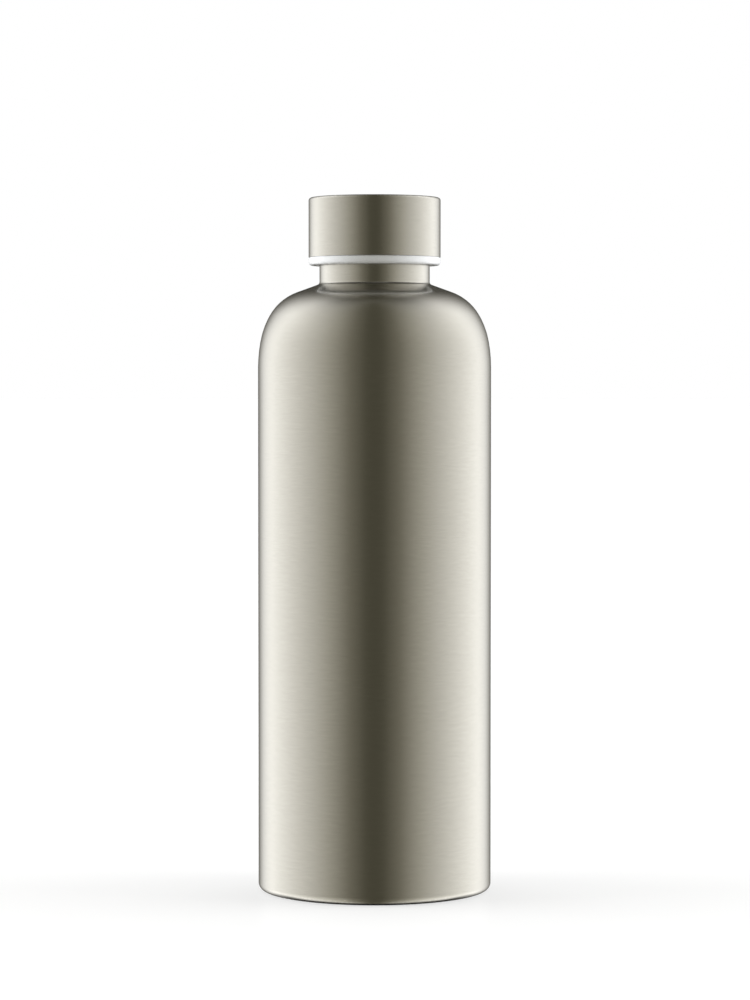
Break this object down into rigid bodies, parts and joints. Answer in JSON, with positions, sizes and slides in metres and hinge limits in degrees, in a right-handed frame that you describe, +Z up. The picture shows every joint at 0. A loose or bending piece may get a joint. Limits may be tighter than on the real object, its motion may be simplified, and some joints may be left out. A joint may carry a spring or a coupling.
{
  "type": "insulated water bottle",
  "caption": "Vacuum-insulated brushed steel bottle: straight round body, domed shoulder, narrow neck, and a steel-covered screw lid with a white ring at its foot.",
  "frame": {"origin": "centre of the base, on the plane the bottle stands on", "axes": "+Z up along the bottle's axis, towards the lid; -Y towards the viewer"},
  "size_m": [0.073, 0.073, 0.217],
  "materials": {
    "body_steel": "satin",
    "cover_steel": "satin",
    "liner_steel": "satin",
    "base_steel": "satin",
    "hidden_steel": "satin",
    "lid_white": "satin",
    "plate_white": "matte",
    "seal_silicone": "matte",
    "foam": "matte",
    "copper": "satin",
    "getter_alloy": "matte",
    "solder_glass": "gloss",
    "adhesive": "matte"
  },
  "bodies": {
    "bottle": {"outer_shell": "body_steel", "inner_flask": "liner_steel", "inner_base": "liner_steel", "outer_base": "hidden_steel", "base_cover": "base_steel", "base_bond_ring": "adhesive", "copper_foil": "copper", "getter_cup": "hidden_steel", "getter_pellet": "getter_alloy", "vacuum_seal": "solder_glass"},
    "seal": {"seal_ring": "seal_silicone"},
    "lid": {"lid_body": "lid_white", "lid_foam": "foam", "lid_top_plate": "plate_white", "cover_bond_disc": "adhesive", "lid_cover": "cover_steel"}
  },
  "joints": [
    {"name": "lid_rise", "type": "slide", "parent": "bottle", "child": "seal", "axis": [0, 0, 1], "range_m": [0, 0.0161]},
    {"name": "lid_turn", "type": "hinge", "parent": "seal", "child": "lid", "pos_m": [0, 0, 0.2089], "axis": [0, 0, 1], "range_deg": [0, 720]}
  ],
  "couplings": [
    {"joint": "lid_rise", "follows": "lid_turn", "m_per_rad": 0.0012732}
  ]
}
